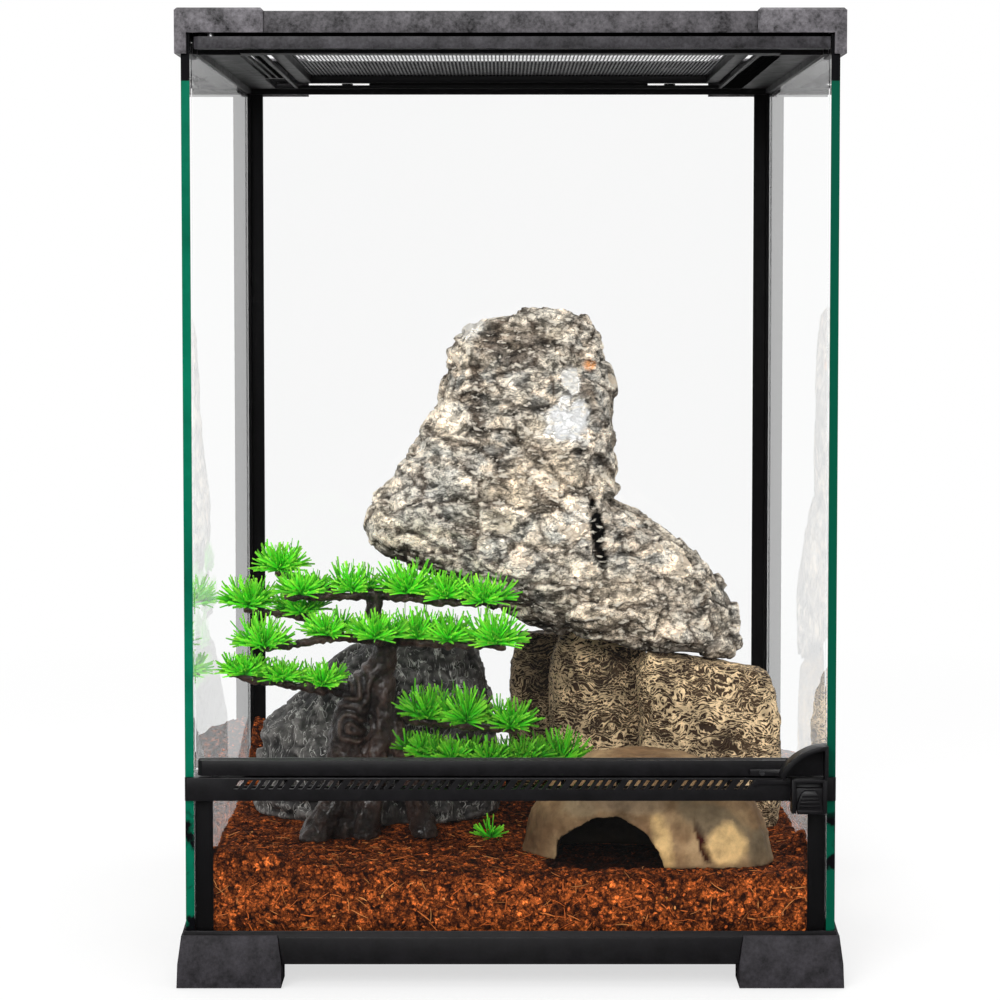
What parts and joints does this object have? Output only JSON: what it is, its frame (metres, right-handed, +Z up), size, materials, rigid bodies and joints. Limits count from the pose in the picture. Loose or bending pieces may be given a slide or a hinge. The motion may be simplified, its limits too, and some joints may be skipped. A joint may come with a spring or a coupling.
{
  "type": "reptile terrarium",
  "caption": "Tall glass terrarium with a side-hinged front door, vent strip, mesh lid with cable ports, and soil, stone, cave and plant decor.",
  "frame": {"origin": "middle of the whole object's footprint, on the surface that its feet stand on", "axes": "+Z up, -Y out of the front door, +X to the viewer's right"},
  "size_m": [0.3084, 0.318, 0.45],
  "materials": {
    "black_plastic": "fine satin moulded black",
    "charcoal": "matt grained charcoal",
    "glass": "clear float glass with green edges",
    "steel": "dull steel",
    "soil": "loose reddish coco fibre",
    "grey_rock": "rough stone with white crust",
    "brown_stone": "brown stone with tan ridges",
    "tan_resin": "painted cast resin",
    "dark_stone": "dark stone with pale veins",
    "bark": "glossy brown-black moulding",
    "green_plastic": "bright green moulded needles"
  },
  "bodies": {
    "cabinet": {"base_frame": "black_plastic", "foot_front_left": "charcoal", "foot_front_right": "charcoal", "foot_rear_left": "charcoal", "foot_rear_right": "charcoal", "bottom_glass": "glass", "side_glass_left": "glass", "side_glass_right": "glass", "rear_glass": "glass", "front_lower_glass": "glass", "rear_post_left": "black_plastic", "rear_post_right": "black_plastic", "front_post_left": "black_plastic", "front_post_right": "black_plastic", "vent_strip": "black_plastic", "top_frame": "black_plastic", "cap_front_left": "black_plastic", "cap_front_right": "black_plastic", "cap_rear_left": "black_plastic", "cap_rear_right": "black_plastic", "lock_housing": "black_plastic", "substrate": "soil", "feature_rock": "grey_rock", "ridge_stone_left": "brown_stone", "ridge_stone_middle": "brown_stone", "ridge_stone_right": "brown_stone", "cave_hide": "tan_resin", "bonsai_stone": "dark_stone", "bonsai_wood": "bark", "needles_top": "green_plastic", "needles_middle": "green_plastic", "needles_lower_left": "green_plastic", "needles_lower_right": "green_plastic", "needles_bottom": "green_plastic", "plant_sprig": "green_plastic"},
    "door": {"door_glass": "glass", "door_top_rail": "black_plastic", "door_bottom_rail": "black_plastic", "door_handle": "black_plastic", "handle_screw": "steel", "hinge_pin_top": "steel", "hinge_pin_bottom": "steel"},
    "lock": {"lock_slide": "black_plastic"},
    "lid": {"lid_frame": "black_plastic", "lid_mesh": "steel"},
    "lid_tab_left": {"lid_lock_left": "black_plastic"},
    "lid_tab_right": {"lid_lock_right": "black_plastic"},
    "port_left": {"port_slider_left": "black_plastic"},
    "port_right": {"port_slider_right": "black_plastic"}
  },
  "joints": [
    {"name": "door_hinge", "type": "hinge", "parent": "cabinet", "child": "door", "pos_m": [-0.1365, -0.143, 0.0977], "axis": [0, 0, -1], "range_deg": [0, 110]},
    {"name": "lock_travel", "type": "slide", "parent": "cabinet", "child": "lock", "axis": [0, 0, 1], "range_m": [0, 0.003]},
    {"name": "lid_lift", "type": "slide", "parent": "cabinet", "child": "lid", "axis": [0, 0, 1], "range_m": [0, 0.12]},
    {"name": "lid_tab_left_slide", "type": "slide", "parent": "lid", "child": "lid_tab_left", "axis": [0, 1, 0], "range_m": [0, 0.003]},
    {"name": "lid_tab_right_slide", "type": "slide", "parent": "lid", "child": "lid_tab_right", "axis": [0, 1, 0], "range_m": [0, 0.003]},
    {"name": "port_left_slide", "type": "slide", "parent": "cabinet", "child": "port_left", "axis": [0, 1, 0], "range_m": [0, 0.074]},
    {"name": "port_right_slide", "type": "slide", "parent": "cabinet", "child": "port_right", "axis": [0, 1, 0], "range_m": [0, 0.074]}
  ]
}
